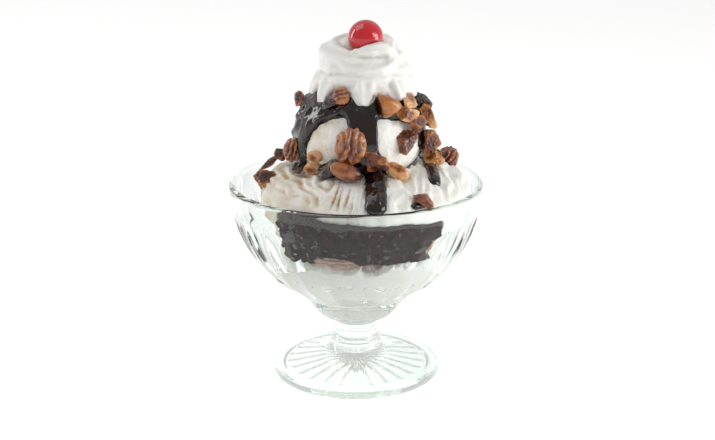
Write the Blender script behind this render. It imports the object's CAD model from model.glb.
"""The looks of a brownie sundae in a footed, fluted glass dish.

The pieces follow one another as the serving is put together: the dish, the first ice cream with the
pecans pressed into it, the brownie, the two upper scoops, hot fudge, nuts, whipped cream, a cherry.
"""

import math

import bmesh
import bpy
import numpy as np
from mathutils import Matrix, Vector, noise
from mathutils.bvhtree import BVHTree


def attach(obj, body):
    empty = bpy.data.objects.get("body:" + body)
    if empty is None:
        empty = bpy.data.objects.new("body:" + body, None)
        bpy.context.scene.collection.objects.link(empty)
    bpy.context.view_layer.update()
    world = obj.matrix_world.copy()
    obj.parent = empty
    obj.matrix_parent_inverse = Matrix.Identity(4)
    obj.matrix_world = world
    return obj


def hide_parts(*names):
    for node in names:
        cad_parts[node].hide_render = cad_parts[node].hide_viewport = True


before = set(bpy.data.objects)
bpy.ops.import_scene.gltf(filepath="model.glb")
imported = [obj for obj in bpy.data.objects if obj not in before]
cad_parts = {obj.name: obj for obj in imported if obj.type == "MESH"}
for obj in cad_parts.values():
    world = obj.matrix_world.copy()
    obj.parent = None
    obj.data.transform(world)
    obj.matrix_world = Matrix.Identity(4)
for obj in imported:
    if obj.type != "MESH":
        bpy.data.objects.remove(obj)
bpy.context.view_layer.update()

# The studio: a white sweep of paper under the dish, as for a cut-out picture of food on a menu. It is
# matt and lit until it is as white as its surroundings, so that only the dish's soft shadow shows.
SWEEP_SIZE = 6.0
PAPER_GLOW = 0.34
SURROUNDINGS_STRENGTH = 0.60
LIT_SPOT = Vector((0.0, 0.0, 0.09))


def linear(code):
    """An sRGB hex colour as the linear RGBA that shaders take."""
    parts = [int(code[i:i + 2], 16) / 255 for i in (1, 3, 5)]
    parts = [c / 12.92 if c <= 0.04045 else ((c + 0.055) / 1.055) ** 2.4 for c in parts]
    return (*parts, 1.0)


def add(tree, kind, inputs=None, **settings):
    """Adds a node: settings name its properties or sockets, inputs map sockets to outputs or numbers."""
    made = tree.nodes.new(kind)
    for name, value in settings.items():
        if hasattr(made, name):
            setattr(made, name, value)
        else:
            made.inputs[name.replace("_", " ")].default_value = value
    for name, source in (inputs or {}).items():
        if isinstance(source, bpy.types.NodeSocket):
            tree.links.new(source, made.inputs[name])
        else:
            made.inputs[name].default_value = source
    return made


def principled(name, **settings):
    """A new material, whose Principled shader has these settings: returns it, its tree and the shader."""
    material = bpy.data.materials.new(name)
    material.use_nodes = True
    tree = material.node_tree
    shader = tree.nodes["Principled BSDF"]
    for socket, value in settings.items():
        shader.inputs[socket.replace("_", " ")].default_value = value
    return material, tree, shader


def piece(name, bm, material, smooth=True):
    """A finished object at the origin, from a bmesh that is modelled in place and is then freed."""
    mesh = bpy.data.meshes.new(name)
    bm.to_mesh(mesh)
    bm.free()
    mesh.materials.append(material)
    if smooth:
        mesh.shade_smooth()
    obj = bpy.data.objects.new(name, mesh)
    bpy.context.scene.collection.objects.link(obj)
    return obj


paper, _, _ = principled(
    "white_paper", Base_Color=linear("#FBFBFB"), Roughness=0.9, Specular_IOR_Level=0.0,
    Emission_Color=linear("#FFFFFF"), Emission_Strength=PAPER_GLOW)
bm = bmesh.new()
bmesh.ops.create_grid(bm, x_segments=1, y_segments=1, size=SWEEP_SIZE)
sweep = piece("paper_sweep", bm, paper, smooth=False)

bpy.context.scene.view_settings.view_transform = "Standard"

# The surroundings are white beyond the dish and a little grey on the camera's side.
world = bpy.data.worlds.new("studio")
bpy.context.scene.world = world
world.use_nodes = True
tree = world.node_tree
way = add(tree, "ShaderNodeTexCoord")
apart = add(tree, "ShaderNodeSeparateXYZ", {0: way.outputs["Generated"]})
depth = add(tree, "ShaderNodeMapRange", {"Value": apart.outputs["Y"]}, From_Min=-0.6, From_Max=0.5)
tones = add(tree, "ShaderNodeMix", {"Factor": depth.outputs[0]}, data_type="RGBA",
            A=linear("#D4D4D2"), B=linear("#FFFFFF"))
tree.links.new(tones.outputs["Result"], tree.nodes["Background"].inputs["Color"])
tree.nodes["Background"].inputs["Strength"].default_value = SURROUNDINGS_STRENGTH


def soft_light(name, place, size, power):
    """A soft box of some width and height, aimed at the serving."""
    light = bpy.data.lights.new(name, "AREA")
    light.energy = power
    light.shape = "RECTANGLE"
    light.size, light.size_y = size
    box = bpy.data.objects.new(name, light)
    box.location = place
    box.rotation_euler = (LIT_SPOT - Vector(place)).to_track_quat("-Z", "Y").to_euler()
    bpy.context.scene.collection.objects.link(box)


soft_light("key", (0.85, -0.50, 0.50), (0.35, 0.45), 1.6)
soft_light("right_box", (0.85, -0.20, 0.20), (0.42, 0.50), 3.2)
soft_light("left_strip", (-0.85, 0.22, 0.38), (0.14, 0.60), 1.6)
soft_light("upper_left", (-1.10, 0.20, 2.00), (1.60, 1.60), 10.0)

# The camera stands where the photograph was taken from: its distance, height and pitch come from the
# ellipses of the rim and the foot, and the small shift from where the dish's axis stands in the frame.
CAMERA_DISTANCE = 0.6361
CAMERA_HEIGHT = 0.2650
CAMERA_PITCH = math.radians(16.874)
FOCAL_PIXELS = 1465.6
FRAME_WIDTH = 715
AXIS_PIXEL = 356.0

lens = bpy.data.cameras.new("camera")
lens.sensor_width = 36.0
lens.lens = FOCAL_PIXELS / FRAME_WIDTH * lens.sensor_width
lens.shift_x = (FRAME_WIDTH / 2 - AXIS_PIXEL) / FRAME_WIDTH
camera = bpy.data.objects.new("camera", lens)
camera.location = (0.0, -CAMERA_DISTANCE, CAMERA_HEIGHT)
camera.rotation_euler = (math.radians(90) - CAMERA_PITCH, 0.0, 0.0)
bpy.context.scene.collection.objects.link(camera)
bpy.context.scene.camera = camera

# The dish: pressed soda glass. A plunger forms the smooth bowl inside and the mould its scallops, the
# collar, the stem and the foot, whose underside has a rib under each scallop; the edges are fire polished.
RIM_RADIUS = 0.0570
RIM_HEIGHT = 0.0910
BOWL_CENTRE_HEIGHT = 0.0890
BOWL_DEPTH = 0.0553
CAVITY_RADIUS = 0.0538
CAVITY_DEPTH = 0.0485
OUTER_SKIN = 0.0006
FLUTE_COUNT = 24
FLUTE_STEPS = 14
FLUTE_DEPTH = 0.0011
FLUTE_LOW = 0.0395
FLUTE_LOW_FADE = 0.0016
FLUTE_HIGH = 0.0820
FLUTE_HIGH_FADE = 0.0080
FOOT_RADIUS = 0.0384
UNDERSIDE_TOP = 0.0042
RIB_DEPTH = 0.0004
RIB_START = 0.0040
RIB_START_FADE = 0.0080
RIB_END = 0.0316
RIB_END_FADE = 0.0016

# What the section has beyond the bowl's two ellipses, as (radius, height): the lip, and the stand from
# the collar over the stem and the foot to the middle of its hollow underside
LIP = ((0.0541, 0.0903), (0.0551, RIM_HEIGHT), (0.0562, 0.0907), (RIM_RADIUS, 0.0897))
STAND = (
    (0.0232, 0.0366), (0.0188, 0.0308), (0.0155, 0.0281), (0.0116, 0.0262), (0.0102, 0.0252),
    (0.0098, 0.0236), (0.0098, 0.0222), (0.0100, 0.0195), (0.0106, 0.0178), (0.0115, 0.0166),
    (0.0118, 0.0156), (0.0115, 0.0146), (0.0118, 0.0138), (0.0128, 0.0122), (0.0160, 0.0098),
    (0.0220, 0.0076), (0.0300, 0.0058), (0.0345, 0.0050), (0.0368, 0.0047), (0.0380, 0.0040),
    (FOOT_RADIUS, 0.0026), (0.0381, 0.0010), (0.0372, 0.0002), (0.0362, 0.0), (0.0345, 0.0),
    (0.0332, 0.0002), (0.0322, 0.0009), (0.0310, 0.0012), (0.0290, 0.0013), (0.0220, 0.0022),
    (0.0160, 0.0029), (0.0100, 0.0035), (0.0050, 0.0039), (0.0, 0.0040),
)


def on_bowl(radius, depth, degrees):
    """Radius and height of the bowl's wall at an angle from its lowest point."""
    angle = math.radians(degrees)
    return radius * math.sin(angle), BOWL_CENTRE_HEIGHT - depth * math.cos(angle)


def rounded(points, steps):
    """A smooth curve through points, as a Catmull-Rom spline with some steps in each stretch."""
    ends = [points[0], *points, points[-1]]
    curve = []
    for a, b, c, d in zip(ends, ends[1:], ends[2:], ends[3:]):
        for step in range(steps):
            t = step / steps
            weights = (-t + 2 * t**2 - t**3, 2 - 5 * t**2 + 3 * t**3, t + 4 * t**2 - 3 * t**3, t**3 - t**2)
            near = (a, b, c, d)
            curve.append(tuple(sum(w * p[i] for w, p in zip(weights, near)) / 2 for i in range(len(b))))
    return [*curve, points[-1]]


def flute_share(x, y):
    """How deep a scallop is at an azimuth: 0 on a ridge, 1 in its middle."""
    turn = math.atan2(y, x) / math.tau * FLUTE_COUNT
    across = 2 * (turn - math.floor(turn)) - 1
    return 1 - across * across


def eased(value, low, high):
    """0 below low, 1 above high and smooth between them."""
    share = min(1.0, max(0.0, (value - low) / (high - low)))
    return share * share * (3 - 2 * share)


profile = [on_bowl(CAVITY_RADIUS, CAVITY_DEPTH, degrees) for degrees in range(0, 91, 3)]
profile += rounded([profile[-1], *LIP, on_bowl(RIM_RADIUS, BOWL_DEPTH, 88)], 4)[1:]
profile += [on_bowl(RIM_RADIUS, BOWL_DEPTH, degrees) for degrees in range(86, 28, -2)]
profile += rounded([on_bowl(RIM_RADIUS, BOWL_DEPTH, 26.5), *STAND], 3)
profile = [(min(radius, RIM_RADIUS), min(max(height, 0.0), RIM_HEIGHT)) for radius, height in profile]

bm = bmesh.new()
verts = [bm.verts.new((radius, 0.0, height)) for radius, height in profile]
edges = [bm.edges.new(pair) for pair in zip(verts, verts[1:])]
bmesh.ops.spin(bm, geom=[*verts, *edges], cent=(0, 0, 0), axis=(0, 0, 1), angle=math.tau,
               steps=FLUTE_COUNT * FLUTE_STEPS, use_merge=True, use_duplicate=False)
bmesh.ops.remove_doubles(bm, verts=bm.verts, dist=1e-6)
bmesh.ops.recalc_face_normals(bm, faces=bm.faces)
for vert in bm.verts:
    x, y, z = vert.co
    radius = math.hypot(x, y)
    if radius < 1e-6:
        continue
    ellipse = RIM_RADIUS * math.sqrt(max(0.0, 1 - ((BOWL_CENTRE_HEIGHT - z) / BOWL_DEPTH) ** 2))
    if radius > ellipse - OUTER_SKIN and FLUTE_LOW < z < FLUTE_HIGH:
        faded = eased(z, FLUTE_LOW, FLUTE_LOW + FLUTE_LOW_FADE)
        faded *= 1 - eased(z, FLUTE_HIGH - FLUTE_HIGH_FADE, FLUTE_HIGH)
        scale = 1 - FLUTE_DEPTH * faded * flute_share(x, y) / radius
        vert.co = (x * scale, y * scale, z)
    elif z < UNDERSIDE_TOP and RIB_START < radius < RIB_END:
        faded = eased(radius, RIB_START, RIB_START + RIB_START_FADE)
        faded *= 1 - eased(radius, RIB_END - RIB_END_FADE, RIB_END)
        vert.co.z += RIB_DEPTH * faded * flute_share(x, y)

# Soda glass: clear with a trace of green, IOR 1.52, polished. Light that makes shadows goes straight
# through it, as it would leave the food in the dark where caustics aren't rendered, and so does light
# that has been thrown about in the wall for long, which would else be cut off as a black edge.
TRAPPED_DEPTH = 4.5
glass, tree, shader = principled(
    "pressed_soda_glass", Base_Color=linear("#F7FBF9"), Roughness=0.0, IOR=1.52, Transmission_Weight=1.0)
ray = add(tree, "ShaderNodeLightPath")
clear = add(tree, "ShaderNodeBsdfTransparent", Color=linear("#F0F4F2"))
trapped = add(tree, "ShaderNodeMath", {0: ray.outputs["Ray Depth"], 1: TRAPPED_DEPTH},
              operation="GREATER_THAN")
straight = add(tree, "ShaderNodeMath", {0: ray.outputs["Is Shadow Ray"], 1: trapped.outputs[0]},
               operation="MAXIMUM")
both = add(tree, "ShaderNodeMixShader", {0: straight.outputs[0], 1: shader.outputs[0], 2: clear.outputs[0]})
tree.links.new(both.outputs[0], tree.nodes["Material Output"].inputs["Surface"])
dish = piece("fluted_dish", bm, glass)
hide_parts("glass_dish")
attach(dish, "root")

# The first ice cream: vanilla, spooned into the bottom of the bowl and pressed against the glass, with
# the brownie lying on it. Like all the ice cream here it is frozen milk foam, torn rather than cut.
WALL_TOUCH = 0.0003
WALL_NEAR = 0.0012
ICE_VOXEL = 0.0007
DENT_SIZE = 0.0035
DENT_DEPTH = 0.0006


def merged_copy(*nodes):
    """A bmesh of the solids of nodes, with the corners of their triangles joined."""
    bm = bmesh.new()
    for node in nodes:
        bm.from_mesh(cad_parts[node].data)
    bmesh.ops.remove_doubles(bm, verts=bm.verts, dist=1e-6)
    return bm


def fine_skin(name, bm, voxel, smoothing, depth=0.0):
    """The surface of a bmesh as small even faces, with the facets smoothed away.

    depth is how far an open sheet is thickened inwards before that.
    """
    rough = bpy.data.meshes.new(name)
    bm.to_mesh(rough)
    bm.free()
    obj = bpy.data.objects.new(name, rough)
    bpy.context.scene.collection.objects.link(obj)
    if depth:
        wall = obj.modifiers.new("Depth", "SOLIDIFY")
        wall.thickness = depth
        wall.offset = -1.0
    remesh = obj.modifiers.new("Skin", "REMESH")
    remesh.mode = "VOXEL"
    remesh.voxel_size = voxel
    mesh = bpy.data.meshes.new_from_object(obj.evaluated_get(bpy.context.evaluated_depsgraph_get()))
    bpy.data.objects.remove(obj)
    skin = bmesh.new()
    skin.from_mesh(mesh)
    bpy.data.meshes.remove(mesh)
    for _ in range(smoothing):
        bmesh.ops.smooth_vert(skin, verts=skin.verts, factor=0.5,
                              use_axis_x=True, use_axis_y=True, use_axis_z=True)
    return skin


def lump(point, size, seed=0.0):
    """Smooth noise from -1 to 1 whose lumps are about size across."""
    return noise.noise(point / size + Vector((seed, seed * 0.7, seed * 1.3)))


def raised(bm, height):
    """Moves each vertex along its normal by a height that is worked out from its place."""
    bm.normal_update()
    heights = [height(vert.co, vert.normal) for vert in bm.verts]
    for vert, rise in zip(bm.verts, heights):
        vert.co += vert.normal * rise


def averaged(bm, values, rounds):
    """Evens values out over the neighbours of each vertex."""
    pairs = np.array([[v.index for v in edge.verts] for edge in bm.edges])
    count = np.bincount(pairs.ravel(), minlength=len(values))
    for _ in range(rounds):
        total = np.bincount(pairs[:, 0], values[pairs[:, 1]], len(values))
        total += np.bincount(pairs[:, 1], values[pairs[:, 0]], len(values))
        values = 0.5 * values + 0.5 * total / count
    return values


def keep_hollows(bm, rounds, depth):
    """Keeps how far each vertex lies below its surroundings as the attribute "hollow": 1 at that depth."""
    bm.normal_update()
    bm.verts.index_update()
    places = np.array([vert.co for vert in bm.verts])
    normals = np.array([vert.normal for vert in bm.verts])
    around = np.stack([averaged(bm, places[:, axis], rounds) for axis in range(3)], axis=1)
    sunk = ((around - places) * normals).sum(axis=1)
    hollow = bm.verts.layers.float.new("hollow")
    for vert, share in zip(bm.verts, np.clip(sunk / depth, 0, 1)):
        vert[hollow] = share


def pressed_to_wall(bm):
    """Carries what lies close to the glass just into it, so that no air shows between them."""
    for vert in bm.verts:
        x, y, z = vert.co
        if z > BOWL_CENTRE_HEIGHT:
            continue
        radius = math.hypot(x, y)
        down = (BOWL_CENTRE_HEIGHT - z) / CAVITY_DEPTH
        reach = math.hypot(radius / CAVITY_RADIUS, down)
        if 1 - reach < WALL_NEAR / CAVITY_RADIUS and reach > 0:
            grow = (1 + WALL_TOUCH / CAVITY_RADIUS) / reach
            vert.co = (x * grow, y * grow, BOWL_CENTRE_HEIGHT - (BOWL_CENTRE_HEIGHT - z) * grow)


def pressed(co, normal):
    """The shallow, upright dents of ice cream that was pressed against the glass."""
    return -DENT_DEPTH * abs(lump(Vector((co.x, co.y, co.z * 0.45)), DENT_SIZE, 2.0))


# Vanilla ice cream: a matt, frosty white that light enters a little way, with fine ice grain. Its
# hollows show the cream's own beige, and so does its left side, where the frost has begun to melt.
def ice_cream_material(name, colour, shade, scattering, melting=0.0):
    """An ice cream with its shade in the hollows; melting is how much shade a metre to the left adds."""
    material, tree, shader = principled(
        name, Roughness=0.55, Subsurface_Weight=scattering, Subsurface_Scale=0.0015,
        Subsurface_Radius=(1.0, 0.85, 0.65))
    place = add(tree, "ShaderNodeTexCoord")
    clouds = add(tree, "ShaderNodeTexNoise", {"Vector": place.outputs["Object"]}, Scale=130.0, Detail=4.0)
    deep = add(tree, "ShaderNodeAttribute", attribute_name="hollow")
    level = add(tree, "ShaderNodeMath", {0: deep.outputs["Fac"], 1: clouds.outputs[0]}, operation="ADD")
    apart = add(tree, "ShaderNodeSeparateXYZ", {0: place.outputs["Object"]})
    sided = add(tree, "ShaderNodeMath", {0: apart.outputs["X"], 1: -melting, 2: level.outputs[0]},
                operation="MULTIPLY_ADD")
    tone = add(tree, "ShaderNodeMapRange", {"Value": sided.outputs[0]}, From_Min=0.50, From_Max=1.20)
    mixed = add(tree, "ShaderNodeMix", {"Factor": tone.outputs[0]}, data_type="RGBA",
                A=linear(colour), B=linear(shade))
    grain = add(tree, "ShaderNodeTexNoise", {"Vector": place.outputs["Object"]}, Scale=1100.0, Detail=3.0)
    relief = add(tree, "ShaderNodeBump", {"Height": grain.outputs[0]}, Strength=0.35, Distance=0.0003)
    tree.links.new(mixed.outputs["Result"], shader.inputs["Base Color"])
    tree.links.new(relief.outputs[0], shader.inputs["Normal"])
    return material


vanilla = ice_cream_material("vanilla_ice_cream", "#FAF8F2", "#C9AF86", 0.12, 9.0)
pressed_vanilla = ice_cream_material("pressed_vanilla_ice_cream", "#FBFAF5", "#DADCCE", 0.15)

bm = fine_skin("base", merged_copy("ice_cream_base"), ICE_VOXEL, 8)
raised(bm, pressed)
pressed_to_wall(bm)
keep_hollows(bm, 8, 0.0004)
base = piece("vanilla_base", bm, pressed_vanilla)
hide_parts("ice_cream_base")
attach(base, "root")

# The brownie: a dark, moist chocolate cake with an open crumb, cut from a tray and pressed down until
# its front meets the glass. Its sides are torn, and small crumbs have come off along them.
BROWNIE_VOXEL = 0.0006
BROWNIE_BOTTOM = 0.0675
BROWNIE_TOP = 0.0868
PORE_SIZE = 0.0021
PORE_DEPTH = 0.0035
TEAR_SIZE = 0.0036
TEAR_DEPTH = 0.0015
RAG_SIZE = 0.0050
RAG_HEIGHT = 0.0030
GRIT_SIZE = 0.0011
GRIT_HEIGHT = 0.0004

# How far the brownie has sunk, how far up that shows in what lies on it, and where it starts and is full
# towards the front and towards the right
SINK_DEPTH = 0.0030
SINK_RISE = 0.0070
SINK_FRONT = (0.026, 0.042)
SINK_RIGHT = (-0.034, -0.006)

# Crumbs torn off along the sides, which cling to the glass, as (azimuth in degrees, height, length down
# the wall, width), in mm
WALL_CRUMBS = (
    (-170, 73.0, 8.0, 2.6), (-163, 69.0, 12.0, 2.8), (-155, 72.0, 9.0, 3.2), (-158, 61.0, 8.0, 2.4),
    (-167, 62.0, 6.0, 1.8), (-148, 65.0, 7.0, 2.6), (-156, 51.5, 4.2, 3.4), (-150, 49.5, 2.6, 2.2),
    (-13, 73.0, 9.0, 2.2), (-20, 66.0, 11.0, 2.4), (-8, 66.0, 6.0, 1.6), (-27, 50.5, 4.4, 2.6),
    (-21, 49.0, 2.4, 2.0), (172, 70.0, 6.0, 2.4), (8, 68.0, 5.0, 2.0), (128, 62.0, 5.0, 3.0),
)
CRUMB_THICKNESS = 0.0010


def crumb_relief(co, normal):
    """Pores and torn crumbs: small cells on the cut faces and deeper tears at the sides."""
    pores = max(0.0, lump(co, PORE_SIZE, 12.0) - 0.25)
    tears = max(0.0, lump(co, TEAR_SIZE, 4.0)) * (0.25 + abs(normal.x))
    rags = lump(Vector((co.x, co.y, co.z * 0.6)), RAG_SIZE, 6.0) + 0.6 * lump(co, 0.48 * RAG_SIZE, 8.0)
    grit = lump(co, GRIT_SIZE, 9.0)
    torn = RAG_HEIGHT * rags * abs(normal.x) ** 2
    return torn - PORE_DEPTH * pores - TEAR_DEPTH * tears + GRIT_HEIGHT * grit


def direction_of(azimuth, elevation):
    """The unit vector at an azimuth from +X and an elevation, both in degrees."""
    a, e = math.radians(azimuth), math.radians(elevation)
    return Vector((math.cos(a) * math.cos(e), math.sin(a) * math.cos(e), math.sin(e)))


def add_wall_crumbs(bm):
    """Adds the crumbs on the glass: torn flakes that lie along the wall."""
    for azimuth, height, length, width in WALL_CRUMBS:
        turn = math.acos((BOWL_CENTRE_HEIGHT - height / 1000) / CAVITY_DEPTH)
        out, up = direction_of(azimuth, 0), Vector((0, 0, 1))
        along = (out * CAVITY_RADIUS * math.cos(turn) + up * CAVITY_DEPTH * math.sin(turn)).normalized()
        across = up.cross(out)
        inward = along.cross(across)
        place = out * CAVITY_RADIUS * math.sin(turn) + up * height / 1000
        for vert in bmesh.ops.create_icosphere(bm, subdivisions=4, radius=1.0)["verts"]:
            uneven = 0.5 * noise.noise(vert.co * 1.7 + place * 900) + 0.2 * noise.noise(vert.co * 6)
            flake = vert.co * (1 + uneven)
            vert.co = place + along * flake.z * length / 2000 + across * flake.x * width / 2000
            vert.co += inward * flake.y * CRUMB_THICKNESS


def sunk_in_front(bm):
    """Lowers the brownie's upper edge where it has sunk at the front, and what lies on that edge."""
    for vert in bm.verts:
        up = (vert.co.z - BROWNIE_BOTTOM) / (BROWNIE_TOP - BROWNIE_BOTTOM)
        level = max(0.0, up) if up < 1 else max(0.0, 1 - (vert.co.z - BROWNIE_TOP) / SINK_RISE)
        vert.co.z -= SINK_DEPTH * level * eased(-vert.co.y, *SINK_FRONT) * eased(vert.co.x, *SINK_RIGHT)


# Moist chocolate crumb: almost black in its pores and a warm brown on the crumbs, with hardly any sheen.
cake, tree, shader = principled("brownie_crumb", Roughness=0.72, Specular_IOR_Level=0.12)
place = add(tree, "ShaderNodeTexCoord")
crumb = add(tree, "ShaderNodeTexNoise", {"Vector": place.outputs["Object"]},
            Scale=380.0, Detail=6.0, Roughness=0.7)
tone = add(tree, "ShaderNodeMapRange", {"Value": crumb.outputs[0]}, From_Min=0.40, From_Max=0.64)
mixed = add(tree, "ShaderNodeMix", {"Factor": tone.outputs[0]}, data_type="RGBA",
            A=linear("#120503"), B=linear("#3C2114"))
tree.links.new(mixed.outputs["Result"], shader.inputs["Base Color"])
cells = add(tree, "ShaderNodeTexVoronoi", {"Vector": place.outputs["Object"]}, Scale=620.0)
relief = add(tree, "ShaderNodeBump", {"Height": cells.outputs["Distance"]}, Strength=0.8, Distance=0.0006)
tree.links.new(relief.outputs[0], shader.inputs["Normal"])

bm = fine_skin("slab", merged_copy("brownie"), BROWNIE_VOXEL, 3)
raised(bm, crumb_relief)
sunk_in_front(bm)
add_wall_crumbs(bm)
pressed_to_wall(bm)
brownie = piece("brownie_slab", bm, cake)
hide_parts("brownie")
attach(brownie, "root")

# The broad lower scoop: pushed down on the brownie until it fills the bowl from side to side. The spoon
# has drawn it down and outwards, which leaves ridges and torn flakes in the frozen foam.
RIDGE_WIDTH = 0.0040
RIDGE_LENGTH = 0.0200
RIDGE_LEAN = math.radians(42)
RIDGE_HEIGHT = 0.0012
FLAKE_SIZE = 0.0036
FLAKE_DEPTH = 0.0006
FROST_SIZE = 0.0011

# Where along X the ridges turn from leaning to upright, and between which heights they rise to the full
RIDGES_TURN = (-0.014, 0.008)
RIDGES_RISE = (0.0885, 0.0940)


def dragged(co, normal):
    """Ridges that run down over the mound, leaning to the right on its left side, and torn flakes."""
    lean = RIDGE_LEAN * (1 - eased(co.x, *RIDGES_TURN))
    fall = 0.95 * co.z - 0.30 * abs(co.y)
    across = co.x * math.cos(lean) + fall * math.sin(lean) + 0.0030 * lump(co, 0.0100, 2.0)
    along = fall * math.cos(lean) - co.x * math.sin(lean)
    coarse = noise.noise(Vector((across / RIDGE_WIDTH, along / RIDGE_LENGTH, 1.0)))
    fine = noise.noise(Vector((across / (0.4 * RIDGE_WIDTH), along / (0.5 * RIDGE_LENGTH), 5.0)))
    ridge = 1 - 2.4 * abs(coarse)
    flake = min(0.0, lump(co, FLAKE_SIZE, 3.0))
    strength = RIDGE_HEIGHT * (0.9 + 0.9 * lump(co, 0.0090, 9.0))
    height = strength * (ridge - 0.85) + 0.0002 * fine
    height += FLAKE_DEPTH * flake + 0.00025 * lump(co, FROST_SIZE, 6.0)
    return height * (0.2 + 0.8 * eased(co.z, *RIDGES_RISE))


bm = fine_skin("mound", merged_copy("ice_cream_mound"), ICE_VOXEL, 10)
raised(bm, dragged)
sunk_in_front(bm)
pressed_to_wall(bm)
keep_hollows(bm, 32, 0.0011)
mound = piece("vanilla_mound", bm, vanilla)
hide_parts("ice_cream_mound")
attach(mound, "root")

# The upper scoop: rolled with a round disher and set on the mound. It is smoother than the mound, but
# for fine drag lines, and the disher has left a torn skirt round its foot.
SCOOP_CENTRE = Vector((0.0015, 0.0, 0.1110))

# How far below that centre the torn skirt starts and is full
SKIRT_DROP = (0.006, 0.016)


def rolled(co, normal):
    """The drag lines and frost of a ball of ice cream, rougher towards the skirt."""
    out = co - SCOOP_CENTRE
    azimuth = math.atan2(out.y, out.x)
    lines = noise.noise(Vector((math.cos(azimuth) * 6, math.sin(azimuth) * 6, out.z / 0.0060 + 2 * azimuth)))
    torn = (0.0004 + 0.0010 * eased(-out.z, *SKIRT_DROP)) * min(0.0, lump(co, 0.0028, 5.0))
    return 0.0005 * (lines - 0.5) + torn + 0.0002 * lump(co, FROST_SIZE, 8.0)


bm = fine_skin("scoop", merged_copy("ice_cream_scoop"), ICE_VOXEL, 10)
raised(bm, rolled)
keep_hollows(bm, 16, 0.0007)
scoop = piece("vanilla_scoop", bm, vanilla)
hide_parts("ice_cream_scoop")
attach(scoop, "root")

# Hot fudge: thick chocolate sauce poured over the scoop while warm, which set as it ran down over the
# cold ice cream. It is glossy, with full round edges and slow folds where one run crept over another.
HEAP_CENTRE = Vector((0.0015, 0.0, 0.080))
HEAP_REACH = 0.15
HEAP_VOXEL = 0.0005
FUDGE_VOXEL = 0.00048
FUDGE_DEPTH = 0.0016
FUDGE_THICKNESS = 0.0023
FUDGE_BORDER = -0.0007
FUDGE_LOWEST = -0.0020
RUN_FULLNESS = 0.62
CAP_SHOULDER = 0.0040

# Where the cap of fudge ends, as (azimuth, elevation) in degrees from HEAP_CENTRE
CAP_EDGE = (
    (-180, 57), (-150, 58), (-118, 61), (-100, 63), (-60, 61), (-30, 57), (10, 58), (45, 61), (80, 58),
    (120, 62), (150, 58), (180, 57),
)

# Runs round the sides and the back: stations of (azimuth, elevation, half width in mm)
SIDE_RUNS = (
    ((-170, 67, 9.0), (-168, 54, 9.5), (-170, 47, 8.5), (-172, 41, 6.0)),
    ((-122, 68, 6.5), (-146, 57, 4.6), (-156, 50, 4.6), (-162, 43, 4.2)),
    ((6, 67, 7.0), (8, 54, 6.0), (12, 48, 5.0), (14, 42, 3.8)),
    ((44, 69, 6.0), (46, 54, 5.0), (42, 45, 4.2), (44, 36, 3.8), (43, 26, 3.3)),
    ((84, 68, 7.5), (82, 53, 6.5), (86, 45, 4.5), (85, 39, 3.4)),
    ((122, 70, 6.0), (126, 56, 5.5), (128, 46, 4.6), (125, 37, 4.0), (127, 27, 3.6)),
    ((160, 67, 6.5), (164, 53, 6.0), (160, 45, 4.5), (163, 40, 3.4)),
)

# Runs on the front, placed by where they are seen from EYE, the camera's place, against the plane Y = 0:
# stations of (across, up, half width), all in mm
EYE = Vector((0.0, -0.636, 0.265))
FRONT_RUNS = (
    ((-14, 130, 5.6), (-17, 125, 5.4), (-19.5, 120, 5.0), (-21.5, 116, 4.4), (-23.5, 112.5, 3.4),
     (-25, 109, 2.6)),
    ((-25.5, 110, 2.0), (-23.2, 106.6, 1.4), (-22.6, 102.4, 1.3), (-22.6, 98.5, 1.5)),
    ((-10, 128, 4.0), (-14.0, 123.5, 3.0), (-17.0, 119.5, 2.2), (-20.0, 115, 1.8)),
    ((-16, 129, 4.0), (-7.5, 127, 3.4), (0, 126, 4.5)),
    ((0.5, 129, 7.5), (2.2, 122, 6.6), (2.9, 117.5, 6.4), (3.8, 112, 6.0), (4.8, 107.5, 5.0),
     (5.0, 103, 4.6)),
    ((5.0, 103, 4.6), (7.2, 99.5, 4.6), (8.6, 94.6, 4.5), (9.0, 88.5, 4.5), (9.0, 82.5, 4.6),
     (9.0, 78.5, 4.6)),
    ((10, 130, 4.0), (18.6, 127.5, 3.6), (20.4, 123.9, 3.0)),
    ((22, 128, 4.0), (27.5, 121, 3.5), (28.2, 114.8, 3.2), (28.6, 109, 3.0), (29.6, 104, 3.0)),
    ((29.6, 104, 3.0), (33.0, 99, 2.8), (34.6, 94.5, 2.9), (35.3, 90.5, 2.9)),
    ((-18.5, 96.4, 1.8), (-11.7, 95.5, 3.6), (-5, 96.5, 4.2), (2.5, 98.5, 4.0), (7.0, 98.0, 3.0)),
    ((-45.3, 93.5, 1.2), (-46, 90, 1.1), (-45.5, 87.5, 1.1)),
    ((27.0, 78.6, 1.5), (30.6, 79.2, 1.4)),
)

# Folds that stand up on the sauce where it is thick enough, as (across, up) in mm like the runs' places
FOLDS = (
    ((-21.2, 128.0), (-21.1, 123.7), (-24.0, 119.8), (-23.4, 117.6), (-24.5, 114.8), (-27.0, 112.8)),
    ((-18.2, 126.2), (-18.4, 123.2), (-20.2, 120.5), (-22.7, 118.5)),
    ((-16.5, 117.1), (-13.3, 119.4)),
    ((-8.6, 119.4), (-7.4, 122.2), (-5.4, 123.2), (-3.6, 121.2), (-3.0, 118.5)),
    ((7.8, 122.1), (8.7, 116.6), (9.0, 110.2), (9.4, 106.6)),
    ((8.6, 87.1), (9.0, 92.7), (10.2, 94.6), (11.4, 92.2), (11.9, 87.1)),
    ((9.5, 82.5), (9.9, 79.2)),
)
FOLD_HEIGHT = 0.0010
FOLD_WIDTH = 0.0010
FOLD_BED = 0.0006


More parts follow.
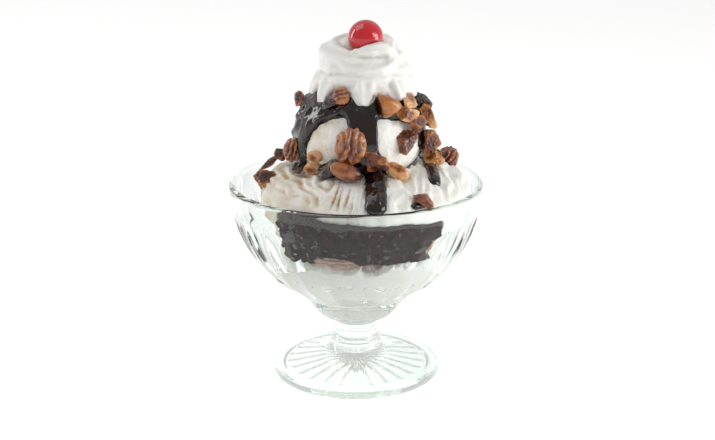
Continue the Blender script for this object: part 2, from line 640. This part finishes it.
def seen_from_eye(tree, across, up):
    """Where the line from EYE through a point of the plane Y = 0, in mm, meets a surface."""
    spot = None
    while spot is None:
        way = (Vector((across, 0, up)) / 1000 - EYE).normalized()
        spot = tree.ray_cast(EYE, way)[0]
        across -= math.copysign(0.25, across)
    return np.array(spot)


def run_height(points, stations):
    """How high a run of sauce stands over points of the heap: stations are (place, half width) in metres."""
    height = np.full(len(points), -1.0)
    for (start, wide_start), (end, wide_end) in zip(stations, stations[1:]):
        way = end - start
        share = np.clip((points - start) @ way / max(way @ way, 1e-12), 0, 1)
        apart = np.linalg.norm(points - start - share[:, None] * way, axis=1)
        wide = wide_start + (wide_end - wide_start) * share
        thick = np.minimum(FUDGE_THICKNESS, RUN_FULLNESS * wide)
        dome = thick * np.sqrt(np.clip(1 - (apart / wide) ** 2, 0, 1))
        height = np.maximum(height, np.where(apart < wide, dome, wide - apart))
    return height


def cap_height(points):
    """How high the cap of sauce stands over points of the heap."""
    out = points - np.array(HEAP_CENTRE)
    reach = np.linalg.norm(out, axis=1)
    azimuth = np.degrees(np.arctan2(out[:, 1], out[:, 0]))
    edge = np.interp(azimuth, [a for a, _ in CAP_EDGE], [e for _, e in CAP_EDGE])
    inside = np.radians(np.degrees(np.arcsin(out[:, 2] / reach)) - edge) * reach
    share = 1 - np.clip(inside / CAP_SHOULDER, 0, 1)
    return np.where(inside > 0, FUDGE_THICKNESS * np.sqrt(1 - share ** 2), inside)


def on_heap(tree, azimuth, elevation):
    """Where the line to HEAP_CENTRE from outside, at an azimuth and an elevation, meets the heap."""
    way = direction_of(azimuth, elevation)
    return np.array(tree.ray_cast(HEAP_CENTRE + way * HEAP_REACH, -way)[0])


# Set chocolate fudge: a very dark brown under a smooth, oily skin that shows each light as a clear shine.
sauce, tree, shader = principled(
    "hot_fudge", Roughness=0.13, Specular_IOR_Level=0.40, Coat_Weight=0.4, Coat_Roughness=0.05)
place = add(tree, "ShaderNodeTexCoord")
folds = add(tree, "ShaderNodeTexNoise", {"Vector": place.outputs["Object"]}, Scale=260.0, Detail=2.0)
tone = add(tree, "ShaderNodeMix", {"Factor": folds.outputs[0]}, data_type="RGBA",
           A=linear("#120908"), B=linear("#261613"))
tree.links.new(tone.outputs["Result"], shader.inputs["Base Color"])

bm = fine_skin("heap", merged_copy("ice_cream_scoop", "ice_cream_mound"), HEAP_VOXEL, 8)
bm.normal_update()
heap_tree = BVHTree.FromBMesh(bm)
points = np.array([vert.co for vert in bm.verts])
rise = cap_height(points)
for stations in SIDE_RUNS:
    laid = [(on_heap(heap_tree, azimuth, elevation), half / 1000) for azimuth, elevation, half in stations]
    rise = np.maximum(rise, run_height(points, laid))
for stations in FRONT_RUNS:
    laid = [(seen_from_eye(heap_tree, across, up), half / 1000) for across, up, half in stations]
    rise = np.maximum(rise, run_height(points, laid))
rise = averaged(bm, np.maximum(rise, FUDGE_LOWEST), 3)
for line in FOLDS:
    laid = [(seen_from_eye(heap_tree, across, up), FOLD_WIDTH) for across, up in line]
    near = -np.minimum(0, run_height(points, laid) - FOLD_WIDTH)
    rise += np.where(rise > FOLD_BED, FOLD_HEIGHT * np.exp(-((near / FOLD_WIDTH) ** 2)), 0)
for vert, height in zip(bm.verts, rise):
    vert.co += vert.normal * height
bmesh.ops.delete(bm, geom=[v for v, height in zip(bm.verts, rise) if height < FUDGE_BORDER], context="VERTS")
bm = fine_skin("fudge", bm, FUDGE_VOXEL, 2, FUDGE_DEPTH)
raised(bm, lambda co, normal: 0.00022 * lump(Vector((co.x * 1.6, co.y * 1.6, co.z * 0.6)), 0.0040, 1.0))
fudge = piece("fudge_sauce", bm, sauce)
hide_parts("hot_fudge")
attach(fudge, "root")

# The nuts: roasted pecan halves, almonds, peanuts and broken pieces, tossed in sugar that set as a thin
# amber glaze. They stick to the fudge and the ice cream, and three were pressed in below the brownie.
HEAP_MIDDLE = Vector((0.0015, 0.0, 0.0900))
NUT_GROWTH = 1.08

# Nuts whose looks lie a little off their solids: how far they are moved, their length, width and
# height, all in mm, and how their length runs against the level as seen from the front, in degrees
NUT_LIES = {
    "pecan_01": ((0, -0.3, 0), (15.8, 12.8, 8.0), 80),
    "almond_02": ((0, -0.5, 0.9), (16.0, 7.2, 6.2), -20),
    "pecan_03": ((0, 0, 0.5), (11.5, 7.0, 6.0), -28),
    "peanut_04": ((0, 0, 0), (11.4, 7.0, 5.2), -28),
    "peanut_05": ((1.3, 0, 0.6), (8.6, 5.8, 5.0), 8),
    "peanut_08": ((1.2, 0, 0), (7.2, 5.4, 4.6), -5),
    "pecan_09": ((0.8, 0, 0), (11.0, 8.4, 6.5), 70),
    "pecan_10": ((-4.5, 4.0, 1.0), (6.2, 6.0, 6.0), 0),
    "pecan_11": ((-4.5, 0, -1.5), (12.0, 2.8, 3.0), 38),
    "praline_12": ((2.5, 0, -2.5), (11.4, 8.6, 7.2), -8),
    "almond_13": ((0, 0, -0.4), (8.8, 6.2, 5.6), -20),
    "almond_14": ((-2.0, 0.4, 1.4), (14.0, 11.0, 8.0), 138),
    "pecan_23": ((-1.8, 0, 0.4), (10.8, 7.6, 6.6), 68),
    "peanut_25": ((0, -1.0, -0.8), (8.6, 7.0, 6.0), 10),
    "pecan_26": ((0, 0, -2.2), (10.8, 9.4, 8.6), 60),
}
NUT_TIP = 16

# A nut that is tucked under the fudge, and how far it moves for that in metres
NUT_TUCKED = {"pecan_37": Vector((0.0060, 0.0050, 0.0))}

# The flat sides of the broken almond, as (azimuth in its own frame, distance from its middle)
WEDGE_SIDES = ((48, 0.50), (-66, 0.62), (165, 0.70))


def own_frame(bm):
    """Where a nut lies: its middle, its half sizes, and the way its length, width and height run."""
    centres = np.array([face.calc_center_median() for face in bm.faces])
    areas = np.array([face.calc_area() for face in bm.faces])
    middle = areas @ centres / areas.sum()
    apart = centres - middle
    _, axes = np.linalg.eigh((apart * areas[:, None]).T @ apart)
    long, wide = Vector(axes[:, 2]), Vector(axes[:, 1])
    out = Vector(middle) - HEAP_MIDDLE
    tall = long.cross(wide)
    if tall.dot(out) < 0:
        tall.negate()
        wide.negate()
    points = np.array([vert.co for vert in bm.verts])
    reach = (points - middle) @ np.array([long, wide, tall]).T
    low, high = reach.min(axis=0), reach.max(axis=0)
    turn = Matrix((long, wide, tall)).transposed()
    centre = Vector(middle) + turn @ Vector((low + high) / 2)
    return centre, Vector((high - low) / 2) * NUT_GROWTH, turn


def pecan_surface(out, seed):
    """A pecan kernel's back: deep furrows along it, wrinkles across its lobes and a pinched edge."""
    x, y, z = out
    bend = y + 0.07 * math.sin(4 * x + seed)
    furrows = 0.38 * math.exp(-((bend / 0.11) ** 2)) + 0.30 * math.exp(-(((abs(bend) - 0.50) / 0.10) ** 2))
    wrinkles = 0.07 * math.sin(11.0 * x + 6.0 * abs(bend) + seed) * math.exp(-((abs(bend) - 0.3) / 0.3) ** 2)
    rough = 0.13 * noise.noise(Vector((x * 3.0, y * 5.0, z * 3.0 + seed))) + 0.05 * noise.noise(out * 8.0)
    return 1.04 - furrows * (1 - 0.5 * x * x) * (0.3 + 0.7 * abs(z)) + wrinkles * (1 - x * x) + rough


def almond_surface(out, seed):
    """An almond: a blunt and a pointed end, with faint lines along the skin."""
    x, y, z = out
    point = 1 - 0.26 * x - 0.12 * x * x
    lines = 0.025 * noise.noise(Vector((x * 1.2, math.atan2(z, y) * 3.5, seed)))
    return point + lines + 0.06 * noise.noise(out * 1.8 + Vector((seed, 0, 0)))


def broken_surface(out, seed):
    """A broken piece: rough flat faces where it snapped, and sharp corners that the glaze has rounded."""
    radius = 1.35 + 0.30 * noise.noise(out * 1.4 + Vector((seed, seed, 0)))
    for turn in range(7):
        side = Vector((math.sin(seed * 3 + turn * 2.4), math.cos(seed * 5 + turn * 1.7),
                       math.sin(turn * 2.9 + seed))).normalized()
        radius = min(radius, (0.76 + 0.10 * math.sin(seed + turn)) / max(0.05, out.dot(side)))
    rough = 0.10 * noise.noise(out * 3.6 + Vector((0, seed, seed))) + 0.05 * noise.noise(out * 9.0)
    return radius * 0.95 + rough


def peanut_surface(out, seed):
    """Half a blanched peanut: smooth and plump, with a faint waist and a split face."""
    waist = 1 - 0.08 * math.exp(-((out.x / 0.3) ** 2))
    radius = min(waist, 0.62 / max(0.05, out.dot(direction_of(seed * 70, 40 + 20 * math.sin(seed)))))
    return radius + 0.08 * noise.noise(out * 2.4 + Vector((seed, 0, seed)))


def wedge_surface(out, seed):
    """Half an almond that broke to a wedge: three flat sides with rounded edges."""
    sides = ((math.radians(turn), depth) for turn, depth in WEDGE_SIDES)
    cut = sum((max(0.0, out.x * math.cos(a) + out.y * math.sin(a)) / depth) ** 6 for a, depth in sides)
    return (1 + cut) ** (-1 / 6) * 1.05 + 0.04 * noise.noise(out * 2.0 + Vector((seed, 0, 0)))


# The surface of each kind, and of those nuts that are broken
SURFACES = {
    "pecan": pecan_surface, "almond": almond_surface, "peanut": peanut_surface, "praline": broken_surface,
}
BROKEN = (
    "pecan_03", "pecan_10", "pecan_11", "pecan_17", "pecan_22", "pecan_23", "pecan_31", "pecan_36",
    "peanut_18", "peanut_20", "peanut_21", "peanut_25", "almond_13",
)
OWN_SURFACES = {**dict.fromkeys(BROKEN, broken_surface), "almond_14": wedge_surface}


def nut_shell(node):
    """A detailed nut in the place, size and lie of a node's solid."""
    solid = merged_copy(node)
    centre, half, turn = own_frame(solid)
    solid.free()
    centre += NUT_TUCKED.get(node, Vector())
    if node in NUT_LIES:
        shift, size, rise = NUT_LIES[node]
        centre += Vector(shift) / 1000
        half = Vector(size) / 2000
        long = direction_of(0, rise)
        wide = direction_of(-90, NUT_TIP).cross(long).normalized()
        turn = Matrix((long, wide, long.cross(wide))).transposed()
    kind, number = node.split("_")
    seed = int(number) * 1.7
    surface = OWN_SURFACES.get(node, SURFACES[kind])
    bm = bmesh.new()
    bmesh.ops.create_icosphere(bm, subdivisions=5, radius=1.0)
    ridge = bm.verts.layers.float.new("ridge")
    for vert in bm.verts:
        out = vert.co.normalized()
        radius = surface(out, seed)
        vert.co = centre + turn @ Vector(out[i] * radius * half[i] for i in range(3))
        vert[ridge] = radius
    radii = [vert[ridge] for vert in bm.verts]
    deepest, highest = min(radii), max(radii)
    for vert in bm.verts:
        vert[ridge] = (vert[ridge] - deepest) / (highest - deepest)
    return bm


# Glazed nut: the roasted kernel under a clear sugar coat. Colour gathers in its furrows and fades on its
# ridges, in patches a few millimetres wide, and the coat makes small sharp highlights.
def nut_material(name, dark, middle, light, coat, roughness=0.38):
    """A glazed nut whose colour goes from its furrows' dark to its ridges' light."""
    material, tree, shader = principled(
        name, Roughness=roughness, Coat_Weight=coat, Coat_Roughness=0.08,
        Subsurface_Weight=0.08, Subsurface_Scale=0.0010)
    place = add(tree, "ShaderNodeTexCoord")
    patches = add(tree, "ShaderNodeTexNoise", {"Vector": place.outputs["Object"]}, Scale=300.0, Detail=4.0)
    ridge = add(tree, "ShaderNodeAttribute", attribute_name="ridge")
    level = add(tree, "ShaderNodeMath", {0: ridge.outputs["Fac"], 1: 0.5, 2: patches.outputs[0]},
                operation="MULTIPLY_ADD")
    ramp = add(tree, "ShaderNodeValToRGB", {0: level.outputs[0]})
    stops = ramp.color_ramp.elements
    stops[0].position, stops[0].color = 0.50, linear(dark)
    stops[1].position, stops[1].color = 0.98, linear(light)
    stops.new(0.74).color = linear(middle)
    tree.links.new(ramp.outputs[0], shader.inputs["Base Color"])
    skin = add(tree, "ShaderNodeTexNoise", {"Vector": place.outputs["Object"]}, Scale=900.0, Detail=3.0)
    relief = add(tree, "ShaderNodeBump", {"Height": skin.outputs[0]}, Strength=0.4, Distance=0.0003)
    tree.links.new(relief.outputs[0], shader.inputs["Normal"])
    return material


NUT_MATERIALS = {
    "pecan": nut_material("glazed_pecan", "#2A0A05", "#7E3C1E", "#BC7A44", 0.8),
    "almond": nut_material("glazed_almond", "#4E1C09", "#8E4816", "#B9742C", 0.8),
    "peanut": nut_material("glazed_peanut", "#74340F", "#C98546", "#E0B27C", 0.6),
    "praline": nut_material("caramel_praline", "#2E0C06", "#7A3612", "#C68236", 1.0),
}
dark_skin = nut_material("dark_skinned_nut", "#240A07", "#62281A", "#A8602E", 0.9)
fudged_nut = nut_material("fudge_coated_nut", "#120706", "#24110D", "#4E2415", 0.9, 0.26)
OWN_MATERIALS = {
    **dict.fromkeys(("almond_02", "pecan_10", "pecan_11", "pecan_26"), dark_skin),
    **dict.fromkeys(("praline_06", "praline_07", "praline_16", "praline_19"), fudged_nut),
}

for node in sorted(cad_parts):
    kind = node.split("_")[0]
    if kind not in NUT_MATERIALS:
        continue
    nut = piece("glazed_" + node, nut_shell(node), OWN_MATERIALS.get(node, NUT_MATERIALS[kind]))
    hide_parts(node)
    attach(nut, "root")

# The whipped cream: a thick rope piped from a star nozzle, wound upwards round the cherry's place, with a
# furrow between its turns, and drawn out into a peak. Its lowest turn hangs over the fudge in lobes.
CREAM_VOXEL = 0.00045
CREAM_CORE_CENTRE = Vector((0.0030, 0.0, 0.137))
CREAM_CORE_RADII = Vector((0.0145, 0.0145, 0.0125))
NOZZLE_POINTS = 6
NOZZLE_DEPTH = 0.10
NOZZLE_TWIST = 0.8
ROPE_TILT = 0.3
ROPE_SIDES = 36
ROPE_STEPS = 10

# Stations of (azimuth in degrees, distance from the cream's axis, height, radius), in mm
CREAM_ROPE = (
    (95, 12.5, 134.0, 6.0), (0, 13.5, 134.0, 8.0), (-52, 13.8, 136.8, 6.7), (-90, 13.6, 136.8, 6.6),
    (-130, 13.3, 136.4, 7.0), (-180, 12.5, 134.5, 8.0), (-270, 12.5, 139.0, 8.0),
    (-360, 12.8, 142.5, 7.4), (-450, 10.4, 143.6, 5.6), (-540, 12.5, 146.5, 7.2),
    (-630, 9.0, 150.0, 6.5), (-690, 11.0, 150.0, 5.4), (-735, 10.5, 147.6, 4.4),
)

# The rope's thin end, which curls round a hollow below the cherry, as stations like the rope's
CREAM_CURL = (
    (-112, 9.5, 149.6, 1.8), (-88, 10.8, 151.0, 2.3), (-66, 11.8, 152.0, 2.7), (-48, 13.0, 151.8, 3.1),
    (-36, 14.4, 149.2, 3.4), (-42, 15.4, 145.6, 3.5), (-62, 15.8, 143.2, 3.4), (-86, 15.4, 142.6, 3.2),
    (-110, 14.8, 143.4, 3.0), (-134, 14.2, 145.4, 2.6), (-156, 13.6, 147.4, 1.6),
)
CREAM_PEAK = ((-112, 9.0, 145.5, 4.2), (-109, 9.8, 149.2, 3.0), (-106, 10.3, 152.4, 0.8))

# The cream that the cherry sank into, as (middle, radius)
CREAM_SEAT = ((Vector((-0.0030, 0.0020, 0.1500)), 0.0058), (Vector((0.0118, 0.0015, 0.1500)), 0.0055))

# Each lobe's azimuth and how much further it hangs than the plain one, whose values are as the rope's
CREAM_LOBES = (
    (-173, -1.0), (-142, 1.2), (-89, 0.0), (-44, -0.8), (0, 0.5), (47, -0.5), (104, 0.8), (160, 0.0),
)
PLAIN_LOBE = ((13.0, 137.5, 6.0), (18.0, 134.5, 5.4), (20.8, 131.0, 3.8), (21.6, 129.4, 2.3))


def piped(bm, stations):
    """Adds a rope of cream through stations, its round section notched by the nozzle's points."""
    centre = Vector((CREAM_CORE_CENTRE.x, CREAM_CORE_CENTRE.y, 0.0))
    stations = rounded(stations, ROPE_STEPS)
    outs = [direction_of(azimuth, 0) for azimuth, _, _, _ in stations]
    places = [centre + (out * reach + Vector((0, 0, height))) / 1000
              for out, (_, reach, height, _) in zip(outs, stations)]
    last = len(stations) - 1
    rings = []
    for index, (azimuth, _, _, radius) in enumerate(stations):
        along = (places[min(index + 1, last)] - places[max(index - 1, 0)]).normalized()
        aside = along.cross(Vector((0, 0, 1)) + ROPE_TILT * outs[index]).normalized()
        above = aside.cross(along)
        ring = bmesh.ops.create_circle(bm, segments=ROPE_SIDES, radius=radius / 1000)["verts"]
        for vert in ring:
            angle = math.atan2(vert.co.y, vert.co.x)
            notch = 1 + NOZZLE_DEPTH * math.cos(NOZZLE_POINTS * angle + NOZZLE_TWIST * math.radians(azimuth))
            vert.co = places[index] + (aside * vert.co.x + above * vert.co.y) * notch
        rings.append(ring)
    for lower, upper in zip(rings, rings[1:]):
        for i in range(len(lower)):
            bm.faces.new((lower[i - 1], lower[i], upper[i], upper[i - 1]))
    bm.faces.new(rings[0])
    bm.faces.new(rings[-1])


# Whipped cream: a foam of small fat-skinned bubbles, so a soft white with a satin shine, which turns
# to the colour of cream in its creases.
foam, tree, shader = principled(
    "whipped_cream", Roughness=0.42, Subsurface_Weight=0.25, Subsurface_Scale=0.0016,
    Subsurface_Radius=(1.0, 0.9, 0.75))
place = add(tree, "ShaderNodeTexCoord")
deep = add(tree, "ShaderNodeAttribute", attribute_name="hollow")
tone = add(tree, "ShaderNodeMix", {"Factor": deep.outputs["Fac"]}, data_type="RGBA",
           A=linear("#F2F1ED"), B=linear("#CFC7AE"))
tree.links.new(tone.outputs["Result"], shader.inputs["Base Color"])
bubbles = add(tree, "ShaderNodeTexNoise", {"Vector": place.outputs["Object"]}, Scale=1500.0, Detail=2.0)
relief = add(tree, "ShaderNodeBump", {"Height": bubbles.outputs[0]}, Strength=0.15, Distance=0.0002)
tree.links.new(relief.outputs[0], shader.inputs["Normal"])

bm = bmesh.new()
bmesh.ops.create_uvsphere(bm, u_segments=32, v_segments=16, radius=1.0)
for vert in bm.verts:
    vert.co = CREAM_CORE_CENTRE + Vector(vert.co[i] * CREAM_CORE_RADII[i] for i in range(3))
for middle, radius in CREAM_SEAT:
    bmesh.ops.create_icosphere(bm, subdivisions=3, radius=radius, matrix=Matrix.Translation(middle))
for stations in (CREAM_ROPE, CREAM_CURL, CREAM_PEAK):
    piped(bm, stations)
for azimuth, hang in CREAM_LOBES:
    shares = [index / (len(PLAIN_LOBE) - 1) for index in range(len(PLAIN_LOBE))]
    lobe = [(azimuth, reach + 0.35 * hang * share, height - hang * share, radius)
            for share, (reach, height, radius) in zip(shares, PLAIN_LOBE)]
    piped(bm, lobe)
bmesh.ops.recalc_face_normals(bm, faces=bm.faces)
bm = fine_skin("cream", bm, CREAM_VOXEL, 4)
raised(bm, lambda co, normal: 0.00045 * lump(co, 0.0050, 1.0) + 0.00012 * lump(co, 0.0015, 3.0))
keep_hollows(bm, 24, 0.0011)
cream = piece("piped_cream", bm, foam)
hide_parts("whipped_cream")
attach(cream, "root")

# The cherry: a candied one, pitted and soaked in red syrup until it is clear and glossy. The hole where
# its stem was shows as a dimple, turned down and away.
CHERRY_CENTRE = Vector((0.0042, -0.0020, 0.1558))
CHERRY_RADIUS = 0.0077
CHERRY_TILT = math.radians(-115)
DIMPLE_DEPTH = 0.15
DIMPLE_WIDTH = 0.05

# Candied cherry: flesh full of syrup under a wet skin, a deep clear red with one small sharp highlight.
candied, tree, shader = principled(
    "candied_cherry", Roughness=0.15, Coat_Weight=0.6, Coat_Roughness=0.04, Subsurface_Weight=0.15,
    Subsurface_Scale=0.0015, Subsurface_Radius=(1.0, 0.15, 0.1))
place = add(tree, "ShaderNodeTexCoord")
flesh = add(tree, "ShaderNodeTexNoise", {"Vector": place.outputs["Object"]}, Scale=160.0, Detail=2.0)
tone = add(tree, "ShaderNodeMix", {"Factor": flesh.outputs[0]}, data_type="RGBA",
           A=linear("#B80E18"), B=linear("#D41824"))
tree.links.new(tone.outputs["Result"], shader.inputs["Base Color"])

bm = bmesh.new()
bmesh.ops.create_icosphere(bm, subdivisions=6, radius=1.0)
for vert in bm.verts:
    out = vert.co.normalized()
    dimple = DIMPLE_DEPTH * math.exp(-(((1 - out.z) / DIMPLE_WIDTH) ** 2))
    vert.co = out * CHERRY_RADIUS * (1 - dimple + 0.006 * min(0.0, noise.noise(out * 2.0)))
bmesh.ops.rotate(bm, verts=bm.verts, matrix=Matrix.Rotation(CHERRY_TILT, 3, "X"))
bmesh.ops.translate(bm, verts=bm.verts, vec=CHERRY_CENTRE)
cherry = piece("candied_cherry", bm, candied)
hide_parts("cherry")
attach(cherry, "root")
